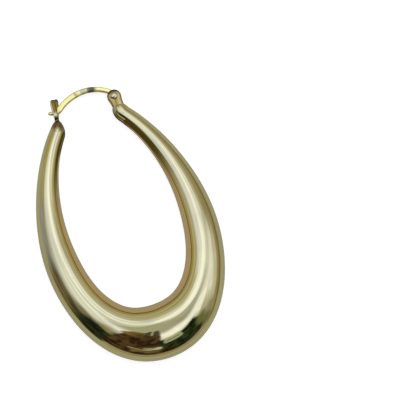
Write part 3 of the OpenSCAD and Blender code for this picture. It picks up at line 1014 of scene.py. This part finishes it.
makeRivet(rivet)


catch = {
    "foot": (-5.47, 20.45),
    "lean": 0.165,
    "armWidth": 0.9,
    "armThickness": 0.36,
    "step": 0.3,
    "frontHeight": 4.05,
    "backHeight": 4.5,
    "squareness": 0.85,
    "stemSquareness": 0.8,
    # rise, sideways step, distance from the hoop's plane, width, thickness: shares of the values above
    "arm": [
        (0.04, 0.0, 0.10, 0.80, 0.8),
        (0.10, 0.0, 0.42, 0.80, 1.0),
        (0.18, 0.1, 0.73, 0.85, 1.0),
        (0.45, 0.4, 0.74, 1.00, 1.0),
        (0.80, 0.9, 0.75, 1.05, 1.0),
        (0.90, 0.9, 0.77, 1.02, 1.1),
        (0.96, 0.9, 0.79, 0.84, 1.0),
        (1.00, 0.9, 0.80, 0.52, 0.7),
    ],
    "endRound": 0.07,
    "endSteps": (0.35, 0.65, 0.87, 0.97),
    "stem": [(-0.65, 1.25), (-0.15, 1.04), (0.25, 0.86), (0.70, 0.76), (0.90, 0.36)],  # rise and thickness
    "armRings": 44,
    "stemRings": 24,
    "sides": 28,
}


def curveRows(rows, count):  # evenly spaced places on the curve through the rows
    return [curveThrough(rows, (len(rows) - 1) * i / count) for i in range(count + 1)]


def armRings(c, side, height):
    rings = []
    for rise, step, out, width, thick in curveRows(c["arm"], c["armRings"]):
        x = c["foot"][0] + c["lean"] * (rise * height) - side * c["step"] * step
        halves = (c["armWidth"] * width / 2, c["armThickness"] * thick / 2)
        rings.append(ringAt((x, c["foot"][1] + rise * height, side * out), (0, 1), *halves, c["squareness"]))
    last = rings[-1]
    x, y, z = last["place"]
    last["place"] = (x, y - c["endRound"], z)
    for t in c["endSteps"]:  # a rounded end
        shrink = sqrt(1 - t * t)
        halves = {key: last[key] * shrink for key in ("halfWidth", "halfDepth")}
        rings.append(dict(last, place=(x, y + c["endRound"] * (t - 1), z), **halves))
    return rings


def makeCatch(c):
    parts = []
    for side, height in ((1, c["frontHeight"]), (-1, c["backHeight"])):
        parts.append(sweepSkin("arm", armRings(c, side, height), c["sides"], finish["catch"]))
    stem = []
    for rise, thick in curveRows(c["stem"], c["stemRings"]):
        place = (c["foot"][0] + c["lean"] * rise, c["foot"][1] + rise, 0)
        stem.append(ringAt(place, (0, 1), thick / 2, thick / 2, c["stemSquareness"]))
    parts.append(sweepSkin("stem", stem, c["sides"], finish["catch"]))
    mesh = joinForms("catch", parts)
    finishPiece("catch", mesh, finish["catch"], "hoop", "hoop_body", sharpFrom=60)


makeCatch(catch)


earWire = {
    "centre": (0.56, 16.7),
    "radius": 7.6,
    "startAngle": 43,
    "endAngle": 131,
    "bow": 0.13,  # how far the part beside the hinge stands outside the arc
    "bowRise": 0.12,  # shares of the arc's length
    "bowFall": (0.35, 0.75),
    "round": (0.90, 0.84),  # width and depth beside the hinge
    "flat": (1.05, 0.72),  # width and depth beside the catch
    "flatFrom": 0.3,
    "flatTo": 0.72,
    "tipBend": (-0.57, -0.5),
    "tipReach": (-2.1, 0.03),
    "tipSize": (0.78, 0.62),
    "tipPoint": 0.12,
    "tipNarrow": 1.6,  # how soon it narrows
    "tipBlunt": 8,
    "tipSpread": 1.5,  # its rings stand closer together at the point
    "squareness": (0.45, 0.33, 0.85),  # of its section, beside the hinge, beside the catch and at the tip
    "roll": 1,  # degrees that the flat part's face leans outwards
    "eye": (0.43, 0.90, 1.0),  # bore, outer radius and depth
    "eyeEdge": 0.07,
    "eyeSides": 56,
    "play": 0.05,  # between the wire's root and the bore
    "arcRings": 110,
    "tipRings": 40,
    "sides": 40,
    "dents": (0.006, 1.6, 5.0),  # depth, size and seed
}


def arcRings(w):
    rings = []
    for share in (i / w["arcRings"] for i in range(w["arcRings"] + 1)):
        a = radians(mix(w["startAngle"], w["endAngle"], share))
        flat = ease((share - w["flatFrom"]) / (w["flatTo"] - w["flatFrom"]))
        halves = [mix(r, f, flat) / 2 for r, f in zip(w["round"], w["flat"])]
        start, end = w["bowFall"]
        bow = ease(share / w["bowRise"]) * (1 - ease((share - start) / (end - start)))
        place = Vector(w["centre"]) + (w["radius"] + w["bow"] * bow) * Vector((cos(a), sin(a)))
        squareness = mix(*w["squareness"][:2], flat)
        rings.append(ringAt(place, (-sin(a), cos(a)), *halves, squareness, roll=radians(w["roll"]) * flat))
    return rings


def tipRings(w, start):
    bend, end = start + Vector(w["tipBend"]), start + Vector(w["tipReach"])
    (width, depth), (tipWidth, tipDepth) = w["flat"], w["tipSize"]
    rings = []
    for i in range(1, w["tipRings"] + 1):
        t = 1 - (1 - i / w["tipRings"]) ** w["tipSpread"]
        close = sqrt(max(0, 1 - t ** w["tipBlunt"]))
        place = (1 - t) ** 2 * start + 2 * t * (1 - t) * bend + t * t * end
        runs = ((1 - t) * (bend - start) + t * (end - bend)).normalized()
        halfWidth = mix(w["tipPoint"], mix(width, tipWidth, min(1, w["tipNarrow"] * t)) / 2, close)
        halfDepth = mix(w["tipPoint"], mix(depth, tipDepth, t) / 2, close)
        squareness = mix(*w["squareness"][1:], t)
        roll = radians(w["roll"]) * (1 - ease(t))
        rings.append(ringAt(place, runs, halfWidth, halfDepth, squareness, roll=roll))
    return rings


def clearBore(mesh, radius):  # the root of the wire keeps out of the bore
    for v in mesh.vertices:
        away = Vector((v.co.x - pinPlace[0], v.co.y - pinPlace[1]))
        if away.length < radius:
            away = away.normalized() * radius
            v.co.x, v.co.y = pinPlace[0] + away.x, pinPlace[1] + away.y


def eyeForm(w):
    bore, outer, depth = w["eye"]
    e, half = w["eyeEdge"], depth / 2
    c = 0.3 * e  # the edge turns in two steps
    profile = [(bore, half - e), (bore + c, half - c), (bore + e, half)]
    profile += [(outer - e, half), (outer - c, half - c), (outer, half - e)]
    profile += [(radius, -height) for radius, height in reversed(profile)]
    profile.append(profile[0])
    eye = lathe(profile, w["eyeSides"], pinPlace)
    bmesh.ops.remove_doubles(eye, verts=eye.verts, dist=1e-5)
    return eye


def makeEarWire(w):
    rings = arcRings(w)
    rings += tipRings(w, Vector(rings[-1]["place"][:2]))
    wire = sweepSkin("wire", rings, w["sides"], finish["wire"], *w["dents"])
    clearBore(wire, w["eye"][0] + w["play"])
    mesh = joinForms("ear_wire", [wire, eyeForm(w)])
    finishPiece("wire_and_eye", mesh, finish["wire"], "wire", "ear_wire", sharpFrom=50)


makeEarWire(earWire)
